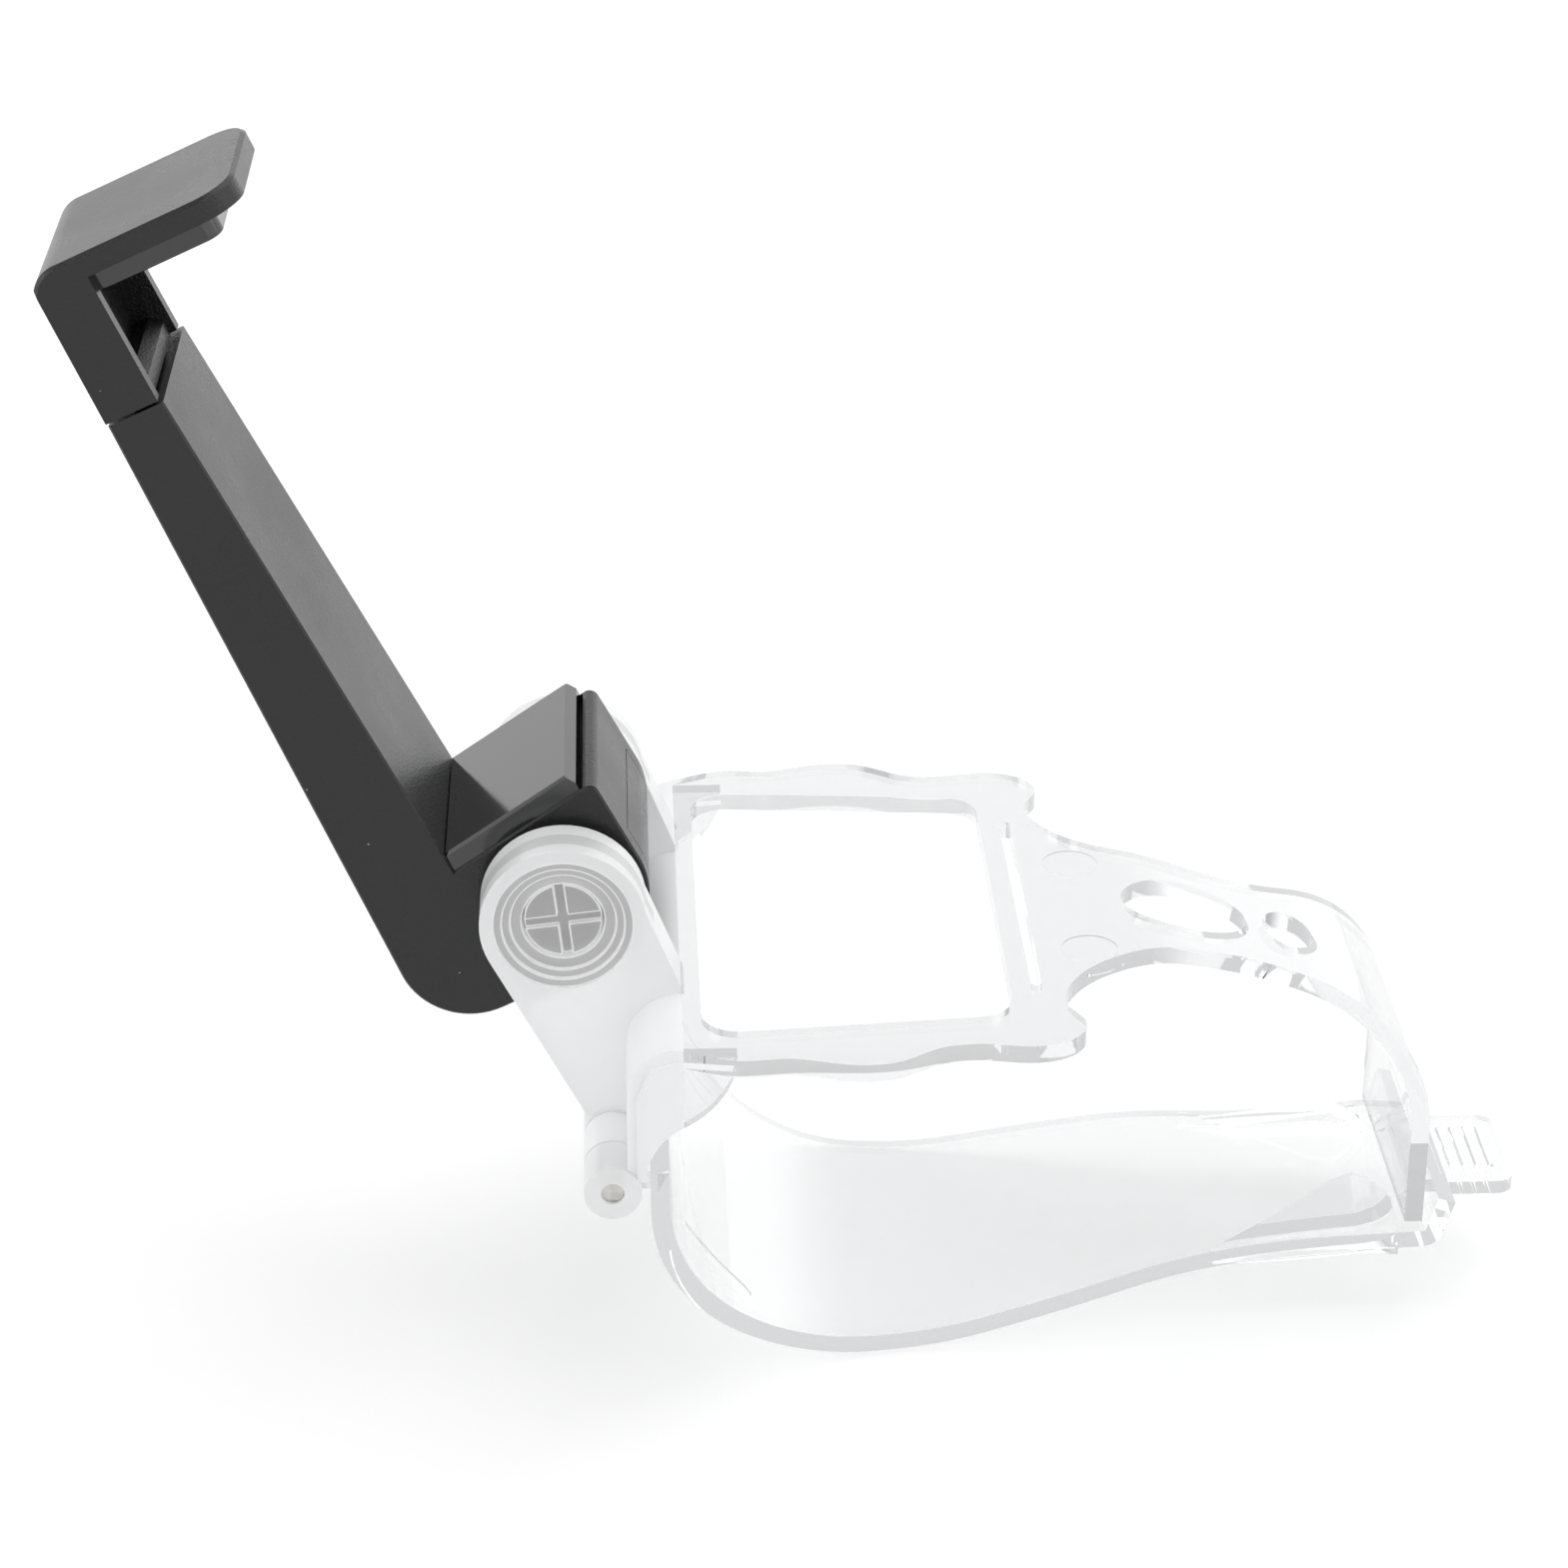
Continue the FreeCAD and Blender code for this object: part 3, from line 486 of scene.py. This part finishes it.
@dataclass(frozen=True)
class ClearPlastic(Finish):
    """Polycarbonate, from polished clear to milky by the share of light that it scatters."""

    tint: Colour = (0.972, 0.976, 0.978)
    darker: float = 0.985
    clearness: float = 1.0
    ior: float = 1.5
    roughness: float = 0.02
    haze: float = 0.03
    waviness: float = 0.05
    wave_depth: float = 0.0004
    # A painted glow: a pale grey emission where light has crossed many surfaces.
    painted_deep_glow: float = 0.7
    painted_glow_tint: Colour = (0.98, 0.99, 1.0)
    # The number of surfaces that light crosses before it ends in the painted glow.
    deepest: float = 4.0
    lamp_share: float = 0.985

    def material(self, effects: Effects) -> bpy.types.Material:
        """Builds the material.

        Args:
            effects: the shared shader groups.

        Returns:
            The material.
        """
        made, t, surface, out = self.start()
        skin = t.add("ShaderNodeGroup", node_tree=effects.flow)
        t.link(self.tone(t, effects, skin), surface.inputs["Base Color"])
        surface.inputs["Transmission Weight"].default_value = self.clearness
        surface.inputs["IOR"].default_value = self.ior
        rough = t.spread(skin.outputs["Haze"], NOISE_SPAN, (self.roughness, self.roughness + self.haze))
        t.link(rough, surface.inputs["Roughness"])
        self.bump(t, surface, skin.outputs["Height"], self.waviness, self.wave_depth)
        self.carry_light(t, surface, out)
        return made

    def tone(self, t: Tree, effects: Effects, skin: bpy.types.Node) -> Socket:
        """Gives the plastic's colour, slightly uneven.

        Args:
            t: the material's tree.
            effects: the shared shader groups.
            skin: the material's soft_flow node.

        Returns:
            The colour's socket.
        """
        return t.tones(skin.outputs["Haze"], shaded(self.tint, self.darker), self.tint)

    def carry_light(self, t: Tree, surface: bpy.types.Node, out: bpy.types.Node) -> None:
        """Ends light that has crossed many surfaces in a painted pale grey glow, which stands in for the
        light beyond, and lets lamps shine through.

        Args:
            t: the material's tree.
            surface: its surface shader.
            out: its output.
        """
        ray = t.add("ShaderNodeLightPath")
        # Painted glow, though the plastic is no lamp.
        glow = t.add("ShaderNodeEmission", Color=(*self.painted_glow_tint, 1), Strength=self.painted_deep_glow)
        deep = t.add("ShaderNodeMixShader")
        t.link(t.math("GREATER_THAN", ray.outputs["Ray Depth"], self.deepest), deep.inputs["Fac"])
        t.link(surface.outputs["BSDF"], deep.inputs[1])
        t.link(glow.outputs["Emission"], deep.inputs[2])
        pale = t.add("ShaderNodeBsdfTransparent", Color=grey(self.lamp_share))
        lit = t.add("ShaderNodeMixShader")
        t.link(ray.outputs["Is Shadow Ray"], lit.inputs["Fac"])
        t.link(deep.outputs["Shader"], lit.inputs[1])
        t.link(pale.outputs["BSDF"], lit.inputs[2])
        t.link(lit.outputs["Shader"], out.inputs["Surface"])


@dataclass(frozen=True)
class FrostedPlastic(ClearPlastic):
    """Milky plastic with painted highlights on its step or slot edges, and painted shade in its recess and
    on its rim.
    """

    clearness: float = 0.3
    roughness: float = 0.28
    lamp_share: float = 0.85
    # Greys and the mask for the painted highlight on the marked edges and the painted shade in the recess
    # and on the rim.
    bright: float = 0.98
    inner: float = 0.55
    rim: float = 0.7
    mark: Mark = Mark.RINGS

    def tone(self, t: Tree, effects: Effects, skin: bpy.types.Node) -> Socket:
        """Gives the milky colour, with painted shade in the recess and on the rim, and a painted highlight
        on the marked edges.

        Args:
            t: the material's tree.
            effects: the shared shader groups.
            skin: the material's soft_flow node.

        Returns:
            The colour's socket.
        """
        marks = t.add("ShaderNodeGroup", node_tree=effects.marks)
        # Painted shade in the recess and on the rim, then the painted highlight on the marked edges.
        recess = t.blend(marks.outputs[Mark.RECESS_SHADE.value], super().tone(t, effects, skin), self.inner)
        rim = t.blend(marks.outputs[Mark.RIM_SHADE.value], recess, self.rim)
        return t.blend(marks.outputs[self.mark.value], rim, self.bright)


@dataclass(frozen=True)
class GrainedPlastic(Finish):
    """Black plastic or rubber with a fine eroded grain and a little dust."""

    colour: Colour = (0.0048, 0.0048, 0.0054)
    unevenness: Span = (0.88, 1.18)
    gloss: Span = (0.25, 0.33)
    shine: float = 0.46
    grain: float = 1.0
    grain_depth: float = 0.00008
    dust: float = 0.22

    def material(self, effects: Effects) -> bpy.types.Material:
        """Builds the material.

        Args:
            effects: the shared shader groups.

        Returns:
            The material.
        """
        made, t, surface, _ = self.start()
        skin = t.add("ShaderNodeGroup", node_tree=effects.grain)
        dust = t.add("ShaderNodeGroup", node_tree=effects.dust)
        low, high = (shaded(self.colour, share) for share in self.unevenness)
        tone = t.tones(skin.outputs["Drift"], low, high)
        t.link(t.blend(dust.outputs["Speck"], tone, self.dust), surface.inputs["Base Color"])
        surface.inputs["Specular IOR Level"].default_value = self.shine
        t.link(t.spread(skin.outputs["Drift"], NOISE_SPAN, self.gloss), surface.inputs["Roughness"])
        self.bump(t, surface, skin.outputs["Height"], self.grain, self.grain_depth)
        return made


@dataclass(frozen=True)
class Steel(Finish):
    """Drawn or turned steel, slightly mottled."""

    colour: Colour = (0.6, 0.59, 0.57)
    darker: float = 0.7
    mottle_scale: float = 900.0
    gloss: Span = (0.2, 0.38)

    def material(self, effects: Effects) -> bpy.types.Material:
        """Builds the material.

        Args:
            effects: the shared shader groups.

        Returns:
            The material.
        """
        made, t, surface, _ = self.start()
        surface.inputs["Metallic"].default_value = 1.0
        skin = t.add("ShaderNodeGroup", node_tree=effects.grain)
        skin.inputs["Height Scale"].default_value = self.mottle_scale
        mottle = skin.outputs["Height"]
        t.link(t.tones(mottle, shaded(self.colour, self.darker), self.colour), surface.inputs["Base Color"])
        t.link(t.spread(mottle, NOISE_SPAN, self.gloss), surface.inputs["Roughness"])
        return made


@dataclass(frozen=True)
class SoftBox:
    """One square soft lamp, with its power in watts."""

    name: str
    place: Point
    width: float
    power: float


@dataclass
class Studio:
    """Floor, room, soft lamps and the camera of the photograph, with angles in degrees."""

    floor_z: float = -0.0431
    floor_width: float = 1.5
    paper: float = 0.8
    paper_roughness: float = 0.9
    paper_shine: float = 0.1
    paper_lift: float = 0.2
    horizon: float = 1.35
    sky: float = 0.58
    # The room fades from the horizon's level to the sky's between these heights, from 0 to 1 overhead.
    fade: Span = (0.25, 0.6)
    lamps: tuple[SoftBox, ...] = (
        SoftBox("box_above", (0.05, 0.2, 0.8), 0.9, 3.2),
        SoftBox("box_left", (-0.9, -0.1, 0.5), 0.6, 1.4),
        SoftBox("box_right", (0.8, -0.3, 0.5), 0.5, 1.0),
    )
    lamp_aim: Point = (0.0, 0.0, 0.02)
    camera_place: Point = (-0.02425, -0.39626, 0.20964)
    camera_turn: Point = (64.08, 0.0, -2.46)
    view_angle: float = 21.92
    nearest: float = 0.01
    farthest: float = 20.0

    def build(self) -> None:
        """Makes the floor, the room, the lamps and the camera."""
        self.make_floor()
        self.make_room()
        self.make_lamps()
        self.make_camera()

    @staticmethod
    def seen_rays(t: Tree) -> Socket:
        """Gives the value that is 1 for camera, glossy and transmission rays.

        Args:
            t: the tree that the nodes go into.

        Returns:
            The value's socket.
        """
        ray = t.add("ShaderNodeLightPath")
        first = t.math("MAXIMUM", ray.outputs["Is Camera Ray"], ray.outputs["Is Glossy Ray"])
        return t.math("MAXIMUM", first, ray.outputs["Is Transmission Ray"])

    def make_floor(self) -> None:
        """Adds a large pale floor that reads as white to the camera and keeps the shadow."""
        bpy.ops.object.select_all(action="DESELECT")
        bpy.ops.mesh.primitive_plane_add(size=self.floor_width, location=(0, 0, self.floor_z))
        floor = bpy.context.object
        floor.name = "studio_floor"
        bpy.ops.object.transform_apply(location=True, rotation=False, scale=False)
        made = bpy.data.materials.new("studio_paper")
        made.use_nodes = True
        t = Tree(made.node_tree)
        surface = made.node_tree.nodes["Principled BSDF"]
        surface.inputs["Base Color"].default_value = grey(self.paper)
        surface.inputs["Roughness"].default_value = self.paper_roughness
        surface.inputs["Specular IOR Level"].default_value = self.paper_shine
        surface.inputs["Emission Color"].default_value = grey(1.0)
        lift = t.math("MULTIPLY", self.seen_rays(t), self.paper_lift)
        t.link(lift, surface.inputs["Emission Strength"])
        floor.data.materials.append(made)

    def make_room(self) -> None:
        """Sets a soft room, bright round the horizon and grey overhead, white to the camera."""
        world = bpy.data.worlds.new("studio_room")
        bpy.context.scene.world = world
        world.use_nodes = True
        world.node_tree.nodes.clear()
        t = Tree(world.node_tree)
        height = t.axes("Generated").outputs["Z"]
        level = t.spread(height, self.fade, (self.horizon, self.sky), soft=True)
        ray = t.add("ShaderNodeLightPath")
        room = t.add("ShaderNodeBackground", Color=grey(1.0))
        t.link(t.math("MAXIMUM", level, ray.outputs["Is Camera Ray"]), room.inputs["Strength"])
        out = t.add("ShaderNodeOutputWorld")
        t.link(room.outputs["Background"], out.inputs["Surface"])

    def make_lamps(self) -> None:
        """Adds the soft boxes: a large one above and behind, and weaker ones at the sides."""
        for box in self.lamps:
            data = bpy.data.lights.new(box.name, "AREA")
            data.energy = box.power
            data.size = box.width
            lamp = bpy.data.objects.new(box.name, data)
            bpy.context.scene.collection.objects.link(lamp)
            lamp.location = box.place
            aim = Vector(self.lamp_aim) - Vector(box.place)
            lamp.rotation_euler = aim.to_track_quat("-Z", "Y").to_euler()

    def make_camera(self) -> None:
        """Puts the camera where the photograph was taken from."""
        data = bpy.data.cameras.new("photo_camera")
        camera = bpy.data.objects.new("photo_camera", data)
        bpy.context.scene.collection.objects.link(camera)
        camera.location = self.camera_place
        camera.rotation_euler = [math.radians(a) for a in self.camera_turn]
        data.angle = math.radians(self.view_angle)
        data.clip_start = self.nearest
        data.clip_end = self.farthest
        bpy.context.scene.camera = camera


def paint(piece: bpy.types.Object, finish: bpy.types.Material) -> None:
    """Puts one material on all of a piece.

    Args:
        piece: the object.
        finish: the material.
    """
    if not piece.data.materials:
        piece.data.materials.append(finish)
    for slot in piece.material_slots:
        slot.material = finish
    LOG.info("%s wears %s", piece.name, finish.name)


def both_sides(*names: str) -> tuple[str, ...]:
    """Names the left and the right piece of each pair."""
    return tuple(f"{name}_{side}" for name in names for side in ("left", "right"))


@dataclass
class ClearCradle:
    """The upper and lower clear shells and the pins that join them."""

    nodes: dict[str, bpy.types.Object]
    # The upper shell is milky below the first of these places along X, the lower one below the second.
    milky_end: float = -0.019
    knuckle_end: float = -0.0235
    merge_distance: float = 1e-6

    def dress(self, finishes: Finishes, milky: bpy.types.Material) -> None:
        """Gives the shells and pins their finishes.

        Args:
            finishes: the materials by slot.
            milky: the frosted plastic of the lugs, the front wall and the knuckles.
        """
        shells = (
            ("upper_shell", self.milky_end, Body.CRADLE, Slot.CLEAR),
            ("lower_shell", self.knuckle_end, Body.LOWER, Slot.CLEAR_LOWER),
        )
        for name, end, body, slot in shells:
            shell = self.cut_copy(self.nodes[name], name + "_skin", end)
            shell.data.materials.append(finishes[slot])
            shell.data.materials.append(milky)
            for face in shell.data.polygons:
                face.material_index = 1 if face.center.x < end else 0
            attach(shell, body.value)
            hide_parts(name)
            LOG.info("%s has %d faces", shell.name, len(shell.data.polygons))
        for name in both_sides("hinge_pin"):
            paint(self.nodes[name], finishes[Slot.STEEL])

    def cut_copy(self, node: bpy.types.Object, name: str, cut_x: float) -> bpy.types.Object:
        """Makes a merged copy of a node, with its faces cut along one X.

        Args:
            node: the node.
            name: the copy's name.
            cut_x: where the faces are cut.

        Returns:
            The copy, which keeps the node's exact surface normals.
        """
        made = bpy.data.objects.new(name, node.data.copy())
        bpy.context.scene.collection.objects.link(made)
        made.data.materials.clear()
        bpy.ops.object.select_all(action="DESELECT")
        made.select_set(True)
        bpy.context.view_layer.objects.active = made
        bpy.ops.mesh.customdata_custom_splitnormals_clear()
        bpy.ops.object.mode_set(mode="EDIT")
        bpy.ops.mesh.select_all(action="SELECT")
        bpy.ops.mesh.remove_doubles(threshold=self.merge_distance)
        bpy.ops.mesh.select_all(action="SELECT")
        bpy.ops.mesh.bisect(plane_co=(cut_x, 0, 0), plane_no=(1, 0, 0))
        bpy.ops.object.mode_set(mode="OBJECT")
        self.bring_normals(node.data, made.data)
        return made

    @staticmethod
    def bring_normals(source: bpy.types.Mesh, target: bpy.types.Mesh) -> None:
        """Gives a cut copy the surface normals of the mesh that it came from.

        Args:
            source: the mesh with exact normals.
            target: the copy, whose faces lie on the source's.
        """
        points = [v.co.copy() for v in source.vertices]
        tree = BVHTree.FromPolygons(points, [tuple(p.vertices) for p in source.polygons])
        normals = [Vector()] * len(target.loops)
        for face in target.polygons:
            face.use_smooth = True
            _, _, index, _ = tree.find_nearest(face.center)
            origin = source.polygons[index]
            corners = [points[v] for v in origin.vertices]
            exact = [source.corner_normals[i].vector for i in origin.loop_indices]
            for corner in face.loop_indices:
                place = target.vertices[target.loops[corner].vertex_index].co
                weights = poly_3d_calc(corners, place)
                mixed = sum((n * w for n, w in zip(exact, weights)), Vector())
                normals[corner] = mixed.normalized()
        target.normals_split_custom_set(normals)


@dataclass
class PhoneClamp:
    """The black clamp, its jaw, pads and hardware."""

    nodes: dict[str, bpy.types.Object]

    def dress(self, finishes: Finishes) -> None:
        """Gives every node of the clamp its finish.

        Args:
            finishes: the materials by slot.
        """
        kinds = {
            Slot.BLACK: ("clamp_arm", "base_hatch", "sliding_jaw"),
            Slot.BLACK_COVER: ("arm_rear_cover",),
            Slot.RUBBER: ("base_pad", "jaw_pad"),
            Slot.CLEAR_SCREW: both_sides("pivot_screw", "detent_ring"),
            Slot.STEEL: ("rear_cover_screws", *both_sides("spring_washer", "pivot_nut", "jaw_spring")),
        }
        for slot, names in kinds.items():
            for name in names:
                paint(self.nodes[name], finishes[slot])


def make_finishes(effects: Effects) -> Finishes:
    """Builds the material of every slot.

    Args:
        effects: the shared shader groups.

    Returns:
        The materials by slot.
    """
    finishes = {
        # Both shells are one plastic: the upper shell's tint is painted darker, as painted shade, while the
        # lower shell, which lies over the floor's shadow, keeps the lighter tint.
        Slot.CLEAR: ClearPlastic("clear_polycarbonate", tint=(0.83, 0.838, 0.843)),
        Slot.CLEAR_LOWER: ClearPlastic("clear_polycarbonate_lower"),
        # The screw head gets painted highlights on its slot edges and painted shade over the recess.
        Slot.CLEAR_SCREW: FrostedPlastic(
            "frosted_polycarbonate", tint=(0.47, 0.475, 0.48), clearness=0.2, inner=0.43, mark=Mark.SLOT_HIGHLIGHTS
        ),
        Slot.BLACK: GrainedPlastic("black_abs"),
        Slot.BLACK_COVER: GrainedPlastic("black_abs_cover", colour=(0.014, 0.014, 0.015)),
        Slot.RUBBER: GrainedPlastic("gloss_rubber", gloss=(0.08, 0.13), shine=0.85, grain=0.06),
        Slot.STEEL: Steel("turned_steel"),
    }
    return {slot: finish.material(effects) for slot, finish in finishes.items()}


def main() -> None:
    """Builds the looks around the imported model."""
    logging.basicConfig(level=logging.INFO, format="%(message)s")
    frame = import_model()
    bpy.context.scene.view_settings.view_transform = "Standard"
    Studio().build()
    effects = Effects()
    # The lugs' milky plastic gets painted highlights on the ring edges and painted shade in the recess and
    # on the rim.
    milky = FrostedPlastic("milky_polycarbonate", tint=(0.915, 0.92, 0.925)).material(effects)
    finishes = make_finishes(effects)
    ClearCradle(frame["nodes"]).dress(finishes, milky)
    PhoneClamp(frame["nodes"]).dress(finishes)


if __name__ == "__main__":
    main()
